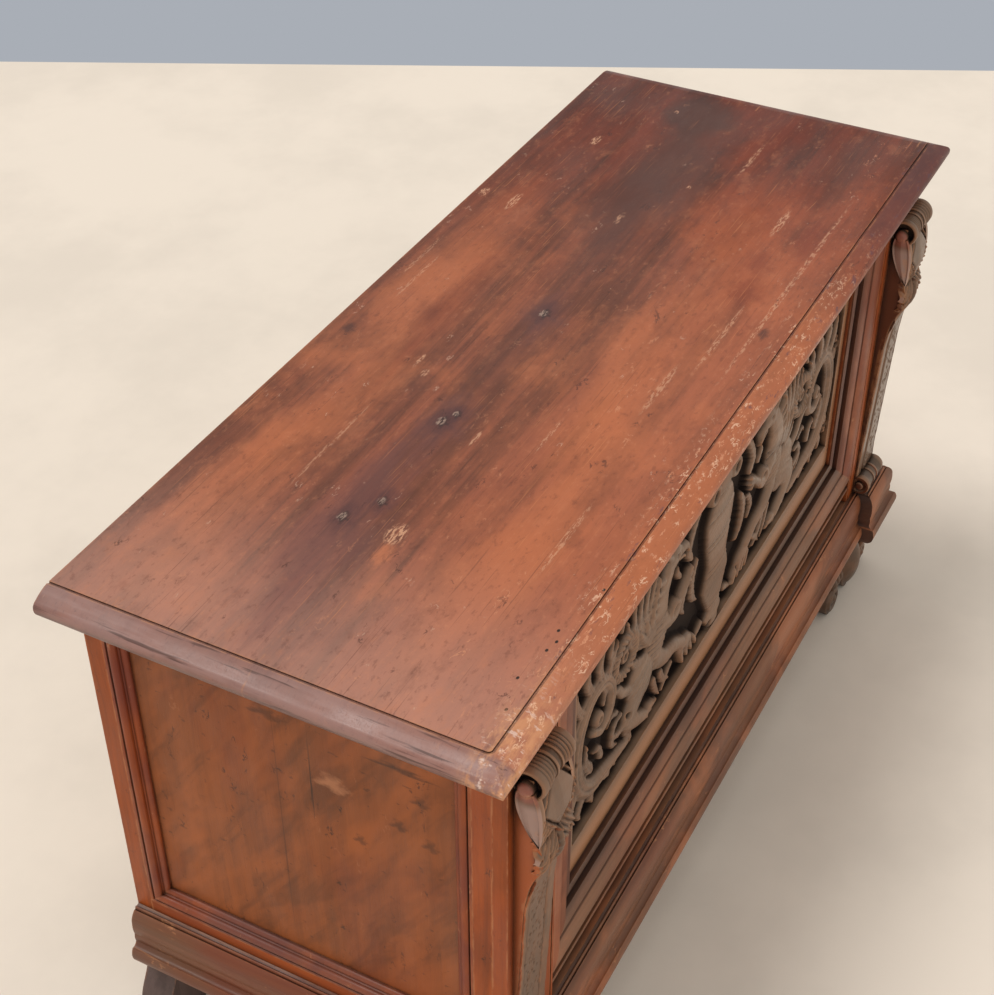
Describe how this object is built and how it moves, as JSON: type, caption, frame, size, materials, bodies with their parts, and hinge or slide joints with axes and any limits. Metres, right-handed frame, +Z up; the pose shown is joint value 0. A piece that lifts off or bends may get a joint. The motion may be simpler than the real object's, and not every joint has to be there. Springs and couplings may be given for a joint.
{
  "type": "cassone",
  "caption": "Renaissance-revival walnut chest: carved front panel between scroll consoles, panelled ends, moulded plinth, carved feet and a hinged moulded lid.",
  "frame": {"origin": "middle of the bounding box at floor level", "axes": "+Z up, -Y towards the carved front, +X along the length towards the right end seen from the front"},
  "size_m": [1.274, 0.5217, 0.7],
  "materials": {
    "walnut_lid": "old waxed walnut, red-brown, worn to orange on the edges",
    "walnut_frame": "waxed walnut, orange-brown",
    "walnut_end_panel": "waxed walnut with curled figure",
    "walnut_moulding": "waxed walnut mouldings with dark dirt in the quirks",
    "walnut_carved": "dry dusty carved walnut with dark hollows",
    "walnut_plinth": "waxed walnut, rubbed on the rounds",
    "walnut_grey": "greyed walnut",
    "poplar": "bare secondary wood, browned with age",
    "iron": "dark wrought iron"
  },
  "bodies": {
    "carcass": {"back_board_bottom": "poplar", "back_board_middle": "poplar", "back_board_top": "poplar", "back_cleats": "poplar", "back_nails": "iron", "bottom_board_front": "poplar", "bottom_board_middle": "poplar", "bottom_board_rear": "poplar", "bottom_cleats": "poplar", "console_left": "walnut_carved", "console_right": "walnut_carved", "end_bottom_rail_left": "walnut_frame", "end_bottom_rail_right": "walnut_frame", "end_front_stile_left": "walnut_frame", "end_front_stile_right": "walnut_frame", "end_moulding_left": "walnut_moulding", "end_moulding_right": "walnut_moulding", "end_panel_left": "walnut_end_panel", "end_panel_right": "walnut_end_panel", "end_rear_stile_left": "walnut_frame", "end_rear_stile_right": "walnut_frame", "end_top_rail_left": "walnut_frame", "end_top_rail_right": "walnut_frame", "front_bottom_rail": "walnut_frame", "front_fascia_bottom": "walnut_moulding", "front_fascia_top": "walnut_moulding", "front_foot_left": "walnut_carved", "front_foot_right": "walnut_carved", "front_moulding_bottom": "walnut_moulding", "front_moulding_left": "walnut_moulding", "front_moulding_right": "walnut_moulding", "front_moulding_top": "walnut_moulding", "front_panel": "walnut_carved", "front_pilaster_left": "walnut_frame", "front_pilaster_right": "walnut_frame", "front_stile_left": "walnut_frame", "front_stile_right": "walnut_frame", "front_top_rail": "walnut_frame", "glue_blocks": "poplar", "hinge_frame_leaf_left": "iron", "hinge_frame_leaf_right": "iron", "hinge_frame_screws": "iron", "hinge_pin_left": "iron", "hinge_pin_right": "iron", "plinth_block_left": "walnut_plinth", "plinth_block_right": "walnut_plinth", "plinth_front": "walnut_plinth", "plinth_left": "walnut_plinth", "plinth_right": "walnut_plinth", "rear_foot_left": "walnut_grey", "rear_foot_right": "walnut_grey"},
    "lid": {"hinge_lid_leaf_left": "iron", "hinge_lid_leaf_right": "iron", "hinge_lid_screws": "iron", "lid_batten_left": "poplar", "lid_batten_right": "poplar", "lid_batten_screws": "iron", "lid_board_front": "walnut_lid", "lid_board_middle": "walnut_lid", "lid_board_rear": "walnut_lid"}
  },
  "joints": [
    {"name": "lid_hinge", "type": "hinge", "parent": "carcass", "child": "lid", "pos_m": [0, 0.25635, 0.67175], "axis": [-1, 0, 0], "range_deg": [0, 100]}
  ]
}
